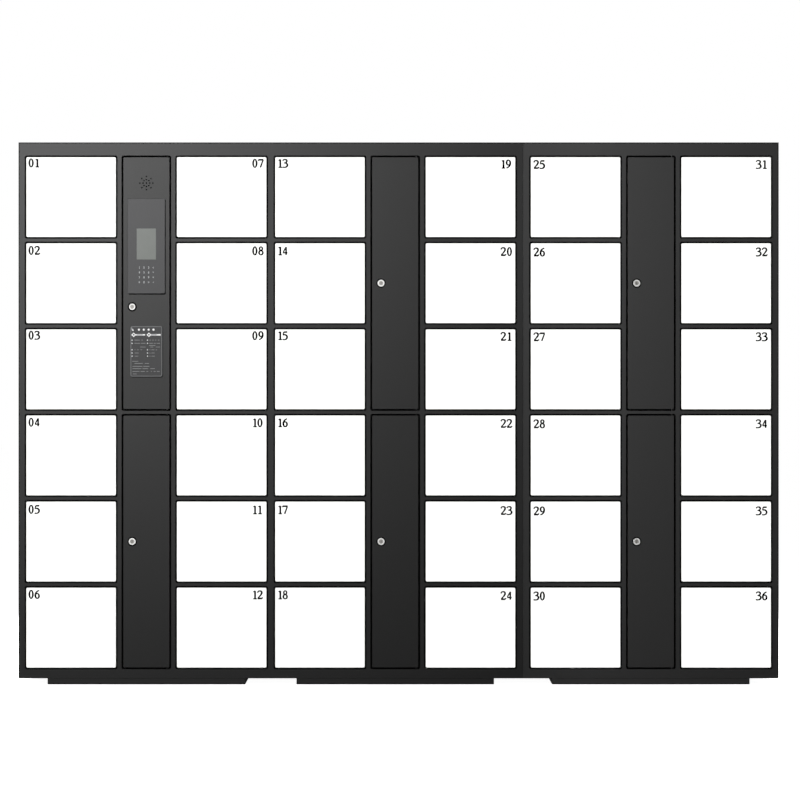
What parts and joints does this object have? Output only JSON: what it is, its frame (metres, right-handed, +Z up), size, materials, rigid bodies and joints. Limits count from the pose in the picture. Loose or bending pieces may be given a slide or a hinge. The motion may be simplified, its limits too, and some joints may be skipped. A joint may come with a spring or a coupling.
{
  "type": "electronic deposit locker",
  "caption": "Free-standing steel deposit locker: rows of inset doors with electric locks, tall keyed service doors, and a control panel with display and touch keypad.",
  "frame": {"origin": "on the floor, under the middle of the body's width and depth", "axes": "+Z up, doors face -Y, +X to the right as seen from the front"},
  "size_m": [2.5244, 0.457, 1.8],
  "materials": {
    "frame_paint": "fine textured powder coat, dark grey",
    "service_paint": "fine textured powder coat, dark grey",
    "door_paint": "smooth powder coat, white",
    "lock_plating": "bright nickel plate",
    "bolt_steel": "zinc plated",
    "lock_case": "moulded black nylon",
    "equipment_case": "plain sheet casing",
    "fascia": "satin dark grey overlay",
    "display_pane": "clear pane over a grey display",
    "plate_face": "printed sheet, satin",
    "circuit_board": "green solder mask"
  },
  "bodies": {
    "cabinet": {"face_frames": "frame_paint", "frame_members": "frame_paint", "carcass_panels": "frame_paint", "compartment_walls": "frame_paint", "plinths": "frame_paint", "electric_locks": "lock_case", "power_equipment": "equipment_case"},
    "lock_bolts": {"lock_bolts": "bolt_steel"},
    "service_door_a_upper": {"service_door_a_upper": "service_paint", "control_fascia": "fascia", "display_window": "display_pane", "instruction_plate": "plate_face", "control_unit": "circuit_board"},
    "lock_plug_a_upper": {"lock_plug_a_upper": "lock_plating"},
    "service_door_a_lower": {"service_door_a_lower": "service_paint"},
    "lock_plug_a_lower": {"lock_plug_a_lower": "lock_plating"},
    "service_door_b_upper": {"service_door_b_upper": "service_paint"},
    "lock_plug_b_upper": {"lock_plug_b_upper": "lock_plating"},
    "service_door_b_lower": {"service_door_b_lower": "service_paint"},
    "lock_plug_b_lower": {"lock_plug_b_lower": "lock_plating"},
    "service_door_c_upper": {"service_door_c_upper": "service_paint"},
    "lock_plug_c_upper": {"lock_plug_c_upper": "lock_plating"},
    "service_door_c_lower": {"service_door_c_lower": "service_paint"},
    "lock_plug_c_lower": {"lock_plug_c_lower": "lock_plating"},
    "door_01": {"door_01": "door_paint"},
    "door_02": {"door_02": "door_paint"},
    "door_03": {"door_03": "door_paint"},
    "door_04": {"door_04": "door_paint"},
    "door_05": {"door_05": "door_paint"},
    "door_06": {"door_06": "door_paint"},
    "door_07": {"door_07": "door_paint"},
    "door_08": {"door_08": "door_paint"},
    "door_09": {"door_09": "door_paint"},
    "door_10": {"door_10": "door_paint"},
    "door_11": {"door_11": "door_paint"},
    "door_12": {"door_12": "door_paint"},
    "door_13": {"door_13": "door_paint"},
    "door_14": {"door_14": "door_paint"},
    "door_15": {"door_15": "door_paint"},
    "door_16": {"door_16": "door_paint"},
    "door_17": {"door_17": "door_paint"},
    "door_18": {"door_18": "door_paint"},
    "door_19": {"door_19": "door_paint"},
    "door_20": {"door_20": "door_paint"},
    "door_21": {"door_21": "door_paint"},
    "door_22": {"door_22": "door_paint"},
    "door_23": {"door_23": "door_paint"},
    "door_24": {"door_24": "door_paint"},
    "door_25": {"door_25": "door_paint"},
    "door_26": {"door_26": "door_paint"},
    "door_27": {"door_27": "door_paint"},
    "door_28": {"door_28": "door_paint"},
    "door_29": {"door_29": "door_paint"},
    "door_30": {"door_30": "door_paint"},
    "door_31": {"door_31": "door_paint"},
    "door_32": {"door_32": "door_paint"},
    "door_33": {"door_33": "door_paint"},
    "door_34": {"door_34": "door_paint"},
    "door_35": {"door_35": "door_paint"},
    "door_36": {"door_36": "door_paint"}
  },
  "joints": [
    {"name": "lock_bolts_slide", "type": "slide", "parent": "cabinet", "child": "lock_bolts", "axis": [0, 0, 1], "range_m": [0, 0.0085]},
    {"name": "service_door_a_upper_hinge", "type": "hinge", "parent": "cabinet", "child": "service_door_a_upper", "pos_m": [-0.76775, -0.22, 1.3325], "axis": [0, 0, 1], "range_deg": [0, 90]},
    {"name": "service_door_a_lower_hinge", "type": "hinge", "parent": "cabinet", "child": "service_door_a_lower", "pos_m": [-0.76775, -0.22, 0.4745], "axis": [0, 0, 1], "range_deg": [0, 90]},
    {"name": "service_door_b_upper_hinge", "type": "hinge", "parent": "cabinet", "child": "service_door_b_upper", "pos_m": [0.05875, -0.22, 1.3325], "axis": [0, 0, 1], "range_deg": [0, 90]},
    {"name": "service_door_b_lower_hinge", "type": "hinge", "parent": "cabinet", "child": "service_door_b_lower", "pos_m": [0.05875, -0.22, 0.4745], "axis": [0, 0, 1], "range_deg": [0, 90]},
    {"name": "service_door_c_upper_hinge", "type": "hinge", "parent": "cabinet", "child": "service_door_c_upper", "pos_m": [0.90775, -0.22, 1.3325], "axis": [0, 0, 1], "range_deg": [0, 90]},
    {"name": "service_door_c_lower_hinge", "type": "hinge", "parent": "cabinet", "child": "service_door_c_lower", "pos_m": [0.90775, -0.22, 0.4745], "axis": [0, 0, 1], "range_deg": [0, 90]},
    {"name": "lock_plug_a_upper_turn", "type": "hinge", "parent": "service_door_a_upper", "child": "lock_plug_a_upper", "pos_m": [-0.88475, -0.225, 1.254], "axis": [0, 1, 0], "range_deg": [0, 90]},
    {"name": "lock_plug_a_lower_turn", "type": "hinge", "parent": "service_door_a_lower", "child": "lock_plug_a_lower", "pos_m": [-0.88475, -0.225, 0.4745], "axis": [0, 1, 0], "range_deg": [0, 90]},
    {"name": "lock_plug_b_upper_turn", "type": "hinge", "parent": "service_door_b_upper", "child": "lock_plug_b_upper", "pos_m": [-0.05825, -0.225, 1.3325], "axis": [0, 1, 0], "range_deg": [0, 90]},
    {"name": "lock_plug_b_lower_turn", "type": "hinge", "parent": "service_door_b_lower", "child": "lock_plug_b_lower", "pos_m": [-0.05825, -0.225, 0.4745], "axis": [0, 1, 0], "range_deg": [0, 90]},
    {"name": "lock_plug_c_upper_turn", "type": "hinge", "parent": "service_door_c_upper", "child": "lock_plug_c_upper", "pos_m": [0.79075, -0.225, 1.3325], "axis": [0, 1, 0], "range_deg": [0, 90]},
    {"name": "lock_plug_c_lower_turn", "type": "hinge", "parent": "service_door_c_lower", "child": "lock_plug_c_lower", "pos_m": [0.79075, -0.225, 0.4745], "axis": [0, 1, 0], "range_deg": [0, 90]},
    {"name": "door_01_hinge", "type": "hinge", "parent": "cabinet", "child": "door_01", "pos_m": [-1.22925, -0.22, 1.6185], "axis": [0, 0, -1], "range_deg": [0, 90]},
    {"name": "door_02_hinge", "type": "hinge", "parent": "cabinet", "child": "door_02", "pos_m": [-1.22925, -0.22, 1.3325], "axis": [0, 0, -1], "range_deg": [0, 90]},
    {"name": "door_03_hinge", "type": "hinge", "parent": "cabinet", "child": "door_03", "pos_m": [-1.22925, -0.22, 1.0465], "axis": [0, 0, -1], "range_deg": [0, 90]},
    {"name": "door_04_hinge", "type": "hinge", "parent": "cabinet", "child": "door_04", "pos_m": [-1.22925, -0.22, 0.7605], "axis": [0, 0, -1], "range_deg": [0, 90]},
    {"name": "door_05_hinge", "type": "hinge", "parent": "cabinet", "child": "door_05", "pos_m": [-1.22925, -0.22, 0.4745], "axis": [0, 0, -1], "range_deg": [0, 90]},
    {"name": "door_06_hinge", "type": "hinge", "parent": "cabinet", "child": "door_06", "pos_m": [-1.22925, -0.22, 0.1885], "axis": [0, 0, -1], "range_deg": [0, 90]},
    {"name": "door_07_hinge", "type": "hinge", "parent": "cabinet", "child": "door_07", "pos_m": [-0.44625, -0.22, 1.6185], "axis": [0, 0, 1], "range_deg": [0, 90]},
    {"name": "door_08_hinge", "type": "hinge", "parent": "cabinet", "child": "door_08", "pos_m": [-0.44625, -0.22, 1.3325], "axis": [0, 0, 1], "range_deg": [0, 90]},
    {"name": "door_09_hinge", "type": "hinge", "parent": "cabinet", "child": "door_09", "pos_m": [-0.44625, -0.22, 1.0465], "axis": [0, 0, 1], "range_deg": [0, 90]},
    {"name": "door_10_hinge", "type": "hinge", "parent": "cabinet", "child": "door_10", "pos_m": [-0.44625, -0.22, 0.7605], "axis": [0, 0, 1], "range_deg": [0, 90]},
    {"name": "door_11_hinge", "type": "hinge", "parent": "cabinet", "child": "door_11", "pos_m": [-0.44625, -0.22, 0.4745], "axis": [0, 0, 1], "range_deg": [0, 90]},
    {"name": "door_12_hinge", "type": "hinge", "parent": "cabinet", "child": "door_12", "pos_m": [-0.44625, -0.22, 0.1885], "axis": [0, 0, 1], "range_deg": [0, 90]},
    {"name": "door_13_hinge", "type": "hinge", "parent": "cabinet", "child": "door_13", "pos_m": [-0.40275, -0.22, 1.6185], "axis": [0, 0, -1], "range_deg": [0, 90]},
    {"name": "door_14_hinge", "type": "hinge", "parent": "cabinet", "child": "door_14", "pos_m": [-0.40275, -0.22, 1.3325], "axis": [0, 0, -1], "range_deg": [0, 90]},
    {"name": "door_15_hinge", "type": "hinge", "parent": "cabinet", "child": "door_15", "pos_m": [-0.40275, -0.22, 1.0465], "axis": [0, 0, -1], "range_deg": [0, 90]},
    {"name": "door_16_hinge", "type": "hinge", "parent": "cabinet", "child": "door_16", "pos_m": [-0.40275, -0.22, 0.7605], "axis": [0, 0, -1], "range_deg": [0, 90]},
    {"name": "door_17_hinge", "type": "hinge", "parent": "cabinet", "child": "door_17", "pos_m": [-0.40275, -0.22, 0.4745], "axis": [0, 0, -1], "range_deg": [0, 90]},
    {"name": "door_18_hinge", "type": "hinge", "parent": "cabinet", "child": "door_18", "pos_m": [-0.40275, -0.22, 0.1885], "axis": [0, 0, -1], "range_deg": [0, 90]},
    {"name": "door_19_hinge", "type": "hinge", "parent": "cabinet", "child": "door_19", "pos_m": [0.38025, -0.22, 1.6185], "axis": [0, 0, 1], "range_deg": [0, 90]},
    {"name": "door_20_hinge", "type": "hinge", "parent": "cabinet", "child": "door_20", "pos_m": [0.38025, -0.22, 1.3325], "axis": [0, 0, 1], "range_deg": [0, 90]},
    {"name": "door_21_hinge", "type": "hinge", "parent": "cabinet", "child": "door_21", "pos_m": [0.38025, -0.22, 1.0465], "axis": [0, 0, 1], "range_deg": [0, 90]},
    {"name": "door_22_hinge", "type": "hinge", "parent": "cabinet", "child": "door_22", "pos_m": [0.38025, -0.22, 0.7605], "axis": [0, 0, 1], "range_deg": [0, 90]},
    {"name": "door_23_hinge", "type": "hinge", "parent": "cabinet", "child": "door_23", "pos_m": [0.38025, -0.22, 0.4745], "axis": [0, 0, 1], "range_deg": [0, 90]},
    {"name": "door_24_hinge", "type": "hinge", "parent": "cabinet", "child": "door_24", "pos_m": [0.38025, -0.22, 0.1885], "axis": [0, 0, 1], "range_deg": [0, 90]},
    {"name": "door_25_hinge", "type": "hinge", "parent": "cabinet", "child": "door_25", "pos_m": [0.44625, -0.22, 1.6185], "axis": [0, 0, -1], "range_deg": [0, 90]},
    {"name": "door_26_hinge", "type": "hinge", "parent": "cabinet", "child": "door_26", "pos_m": [0.44625, -0.22, 1.3325], "axis": [0, 0, -1], "range_deg": [0, 90]},
    {"name": "door_27_hinge", "type": "hinge", "parent": "cabinet", "child": "door_27", "pos_m": [0.44625, -0.22, 1.0465], "axis": [0, 0, -1], "range_deg": [0, 90]},
    {"name": "door_28_hinge", "type": "hinge", "parent": "cabinet", "child": "door_28", "pos_m": [0.44625, -0.22, 0.7605], "axis": [0, 0, -1], "range_deg": [0, 90]},
    {"name": "door_29_hinge", "type": "hinge", "parent": "cabinet", "child": "door_29", "pos_m": [0.44625, -0.22, 0.4745], "axis": [0, 0, -1], "range_deg": [0, 90]},
    {"name": "door_30_hinge", "type": "hinge", "parent": "cabinet", "child": "door_30", "pos_m": [0.44625, -0.22, 0.1885], "axis": [0, 0, -1], "range_deg": [0, 90]},
    {"name": "door_31_hinge", "type": "hinge", "parent": "cabinet", "child": "door_31", "pos_m": [1.22925, -0.22, 1.6185], "axis": [0, 0, 1], "range_deg": [0, 90]},
    {"name": "door_32_hinge", "type": "hinge", "parent": "cabinet", "child": "door_32", "pos_m": [1.22925, -0.22, 1.3325], "axis": [0, 0, 1], "range_deg": [0, 90]},
    {"name": "door_33_hinge", "type": "hinge", "parent": "cabinet", "child": "door_33", "pos_m": [1.22925, -0.22, 1.0465], "axis": [0, 0, 1], "range_deg": [0, 90]},
    {"name": "door_34_hinge", "type": "hinge", "parent": "cabinet", "child": "door_34", "pos_m": [1.22925, -0.22, 0.7605], "axis": [0, 0, 1], "range_deg": [0, 90]},
    {"name": "door_35_hinge", "type": "hinge", "parent": "cabinet", "child": "door_35", "pos_m": [1.22925, -0.22, 0.4745], "axis": [0, 0, 1], "range_deg": [0, 90]},
    {"name": "door_36_hinge", "type": "hinge", "parent": "cabinet", "child": "door_36", "pos_m": [1.22925, -0.22, 0.1885], "axis": [0, 0, 1], "range_deg": [0, 90]}
  ]
}
